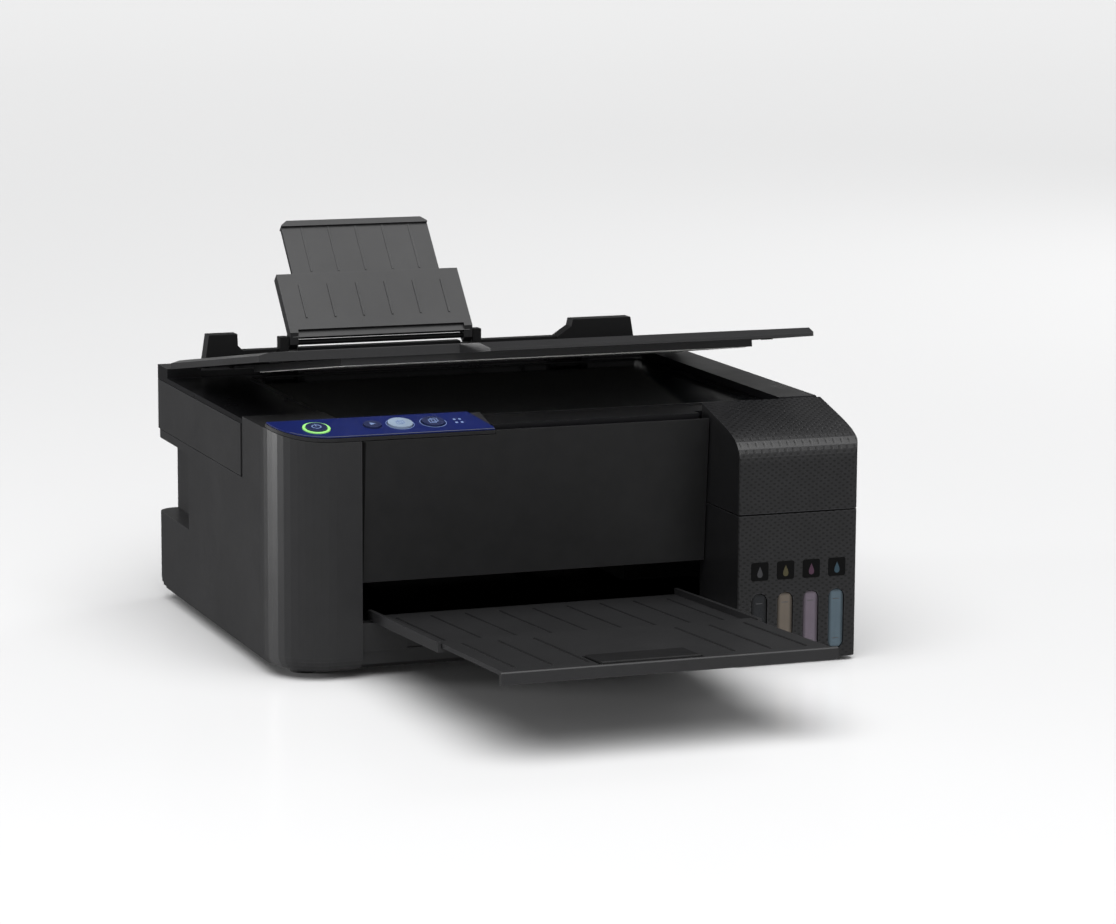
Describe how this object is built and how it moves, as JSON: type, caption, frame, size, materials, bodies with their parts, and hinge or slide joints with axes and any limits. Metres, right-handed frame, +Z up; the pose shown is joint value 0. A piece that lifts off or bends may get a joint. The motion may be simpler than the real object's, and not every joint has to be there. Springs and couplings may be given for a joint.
{
  "type": "inkjet printer",
  "caption": "Desktop inkjet printer with side ink tanks, flatbed scanner under a hinged lid, rear sheet feeder and telescoping output tray.",
  "frame": {"origin": "centre of the bounding box on the plane that the feet stand on, with the trays and the paper support out", "axes": "+X to the user's right, +Y to the back, +Z up"},
  "size_m": [0.375, 0.5837, 0.2546],
  "materials": {
    "charcoal_shell": "satin moulded charcoal plastic with a very fine grain",
    "black_plastic": "satin black moulded plastic",
    "panel_plastic": "flat satin black front panel",
    "textured_shell": "satin black plastic with rows of small wave-shaped dimples",
    "gloss_black": "near-black gloss plastic",
    "blue_overlay": "dark blue printed film with fine scuffs",
    "button_plastic": "dark blue-black keys",
    "silver_button": "pale silver-blue key",
    "light_ring": "pale green light guide",
    "scanner_glass": "dark polished glass plate over a black tray",
    "white_pad": "white foam sheet",
    "foot_rubber": "black rubber",
    "belt_rubber": "black rubber",
    "steel": "zinc-plated pressed steel",
    "white_plastic": "natural white acetal",
    "circuit_board": "green circuit board",
    "clear_tank": "translucent polypropylene",
    "ink_black": "black ink",
    "ink_yellow": "yellow ink behind smoky plastic",
    "ink_magenta": "magenta ink behind smoky plastic",
    "ink_cyan": "cyan ink behind smoky plastic",
    "felt_pad": "ink-stained dark felt"
  },
  "bodies": {
    "body": {"main_housing": "charcoal_shell", "base_tray": "black_plastic", "foot_front_left": "foot_rubber", "foot_front_right": "foot_rubber", "foot_rear_left": "foot_rubber", "foot_rear_right": "foot_rubber", "rear_cover": "charcoal_shell", "power_inlet": "black_plastic", "usb_port": "steel", "front_panel": "panel_plastic", "front_sill": "charcoal_shell", "control_deck": "charcoal_shell", "panel_overlay": "blue_overlay", "power_ring": "light_ring", "tank_case": "textured_shell", "tank_black": "clear_tank", "tank_yellow": "clear_tank", "tank_magenta": "clear_tank", "tank_cyan": "clear_tank", "ink_black": "ink_black", "ink_yellow": "ink_yellow", "ink_magenta": "ink_magenta", "ink_cyan": "ink_cyan", "feeder_housing": "black_plastic", "chassis": "steel", "carriage_rail": "steel", "platen": "black_plastic", "timing_belt": "belt_rubber", "carriage_motor": "steel", "drive_belt": "belt_rubber", "power_supply": "black_plastic", "main_board": "circuit_board", "waste_ink_pad": "felt_pad"},
    "power_key": {"power_button": "button_plastic"},
    "stop_key": {"stop_button": "button_plastic"},
    "colour_key": {"colour_copy_button": "silver_button"},
    "black_key": {"black_copy_button": "button_plastic"},
    "ink_cover": {"tank_cover": "textured_shell"},
    "black_cap": {"cap_black": "black_plastic"},
    "yellow_cap": {"cap_yellow": "black_plastic"},
    "magenta_cap": {"cap_magenta": "black_plastic"},
    "cyan_cap": {"cap_cyan": "black_plastic"},
    "scanner": {"scanner_case": "charcoal_shell", "scanner_top": "gloss_black", "scanner_glass": "scanner_glass"},
    "scan_head": {"scan_carriage": "black_plastic"},
    "lid": {"document_lid": "charcoal_shell", "lid_pad": "white_pad"},
    "support": {"paper_support": "charcoal_shell"},
    "support_top": {"support_extension": "charcoal_shell"},
    "guide_left": {"edge_guide_left": "black_plastic"},
    "guide_right": {"edge_guide_right": "black_plastic"},
    "tray": {"output_tray": "charcoal_shell"},
    "tray_front": {"tray_extension": "charcoal_shell"},
    "stopper": {"tray_stopper": "black_plastic"},
    "carriage": {"print_head": "black_plastic"},
    "pulley_idle": {"idler_pulley": "white_plastic"},
    "pulley_motor": {"motor_pulley": "white_plastic"},
    "feeder_shaft": {"feed_roller": "belt_rubber"},
    "exit_shaft": {"output_roller": "belt_rubber"}
  },
  "joints": [
    {"name": "power_press", "type": "slide", "parent": "body", "child": "power_key", "axis": [0, 0.2283, -0.9736], "range_m": [0, 0.0012], "stiffness_N_per_m": 400, "springref_m": -0.001},
    {"name": "stop_press", "type": "slide", "parent": "body", "child": "stop_key", "axis": [0, 0.2283, -0.9736], "range_m": [0, 0.0012], "stiffness_N_per_m": 400, "springref_m": -0.001},
    {"name": "colour_copy_press", "type": "slide", "parent": "body", "child": "colour_key", "axis": [0, 0.2283, -0.9736], "range_m": [0, 0.0012], "stiffness_N_per_m": 400, "springref_m": -0.001},
    {"name": "black_copy_press", "type": "slide", "parent": "body", "child": "black_key", "axis": [0, 0.2283, -0.9736], "range_m": [0, 0.0012], "stiffness_N_per_m": 400, "springref_m": -0.001},
    {"name": "ink_cover_hinge", "type": "hinge", "parent": "body", "child": "ink_cover", "pos_m": [0, -0.0425, 0.16], "axis": [-1, 0, 0], "range_deg": [0, 75]},
    {"name": "black_cap_hinge", "type": "hinge", "parent": "body", "child": "black_cap", "pos_m": [0, -0.068, 0.107], "axis": [-1, 0, 0], "range_deg": [0, 95]},
    {"name": "yellow_cap_hinge", "type": "hinge", "parent": "body", "child": "yellow_cap", "pos_m": [0, -0.068, 0.107], "axis": [-1, 0, 0], "range_deg": [0, 95]},
    {"name": "magenta_cap_hinge", "type": "hinge", "parent": "body", "child": "magenta_cap", "pos_m": [0, -0.068, 0.107], "axis": [-1, 0, 0], "range_deg": [0, 95]},
    {"name": "cyan_cap_hinge", "type": "hinge", "parent": "body", "child": "cyan_cap", "pos_m": [0, -0.068, 0.107], "axis": [-1, 0, 0], "range_deg": [0, 95]},
    {"name": "scanner_lift", "type": "hinge", "parent": "body", "child": "scanner", "pos_m": [0, 0.235, 0.158], "axis": [-1, 0, 0], "range_deg": [0, 28]},
    {"name": "scan_travel", "type": "slide", "parent": "scanner", "child": "scan_head", "axis": [1, 0, 0], "range_m": [0, 0.245]},
    {"name": "lid_hinge", "type": "hinge", "parent": "scanner", "child": "lid", "pos_m": [0, 0.21, 0.165], "axis": [-1, 0, 0], "range_deg": [-9, 51]},
    {"name": "support_tilt", "type": "hinge", "parent": "body", "child": "support", "pos_m": [0, 0.227, 0.176], "axis": [-1, 0, 0], "range_deg": [-42.4, 0]},
    {"name": "support_slide", "type": "slide", "parent": "support", "child": "support_top", "axis": [0, 0.6743, 0.7385], "range_m": [-0.0415, 0]},
    {"name": "guide_left_slide", "type": "slide", "parent": "body", "child": "guide_left", "axis": [1, 0, 0], "range_m": [0, 0.055]},
    {"name": "guide_right_slide", "type": "slide", "parent": "body", "child": "guide_right", "axis": [-1, 0, 0], "range_m": [0, 0.055]},
    {"name": "tray_slide", "type": "slide", "parent": "body", "child": "tray", "axis": [0, -0.9986, 0.0523], "range_m": [-0.121, 0]},
    {"name": "tray_extension_slide", "type": "slide", "parent": "tray", "child": "tray_front", "axis": [0, -0.9986, 0.0523], "range_m": [-0.109, 0]},
    {"name": "stopper_flip", "type": "hinge", "parent": "tray_front", "child": "stopper", "pos_m": [0, -0.28311, 0.05357], "axis": [1, 0, 0], "range_deg": [0, 90]},
    {"name": "carriage_travel", "type": "slide", "parent": "body", "child": "carriage", "axis": [-1, 0, 0], "range_m": [0, 0.222]},
    {"name": "motor_turn", "type": "hinge", "parent": "body", "child": "pulley_motor", "pos_m": [0.156, 0.075, 0.092], "axis": [0, 1, 0], "range_deg": [-1830, 1830]},
    {"name": "idler_turn", "type": "hinge", "parent": "body", "child": "pulley_idle", "pos_m": [-0.116, 0.075, 0.092], "axis": [0, 1, 0], "range_deg": [-1830, 1830]},
    {"name": "feed_turn", "type": "hinge", "parent": "body", "child": "feeder_shaft", "pos_m": [0, 0.082, 0.056], "axis": [1, 0, 0], "continuous": true},
    {"name": "exit_turn", "type": "hinge", "parent": "body", "child": "exit_shaft", "pos_m": [0, -0.002, 0.056], "axis": [1, 0, 0], "continuous": true}
  ],
  "couplings": [
    {"joint": "guide_right_slide", "follows": "guide_left_slide", "ratio": 1},
    {"joint": "motor_turn", "follows": "carriage_travel", "rad_per_m": -142.86},
    {"joint": "idler_turn", "follows": "carriage_travel", "rad_per_m": -142.86},
    {"joint": "exit_turn", "follows": "feed_turn", "ratio": 1}
  ]
}
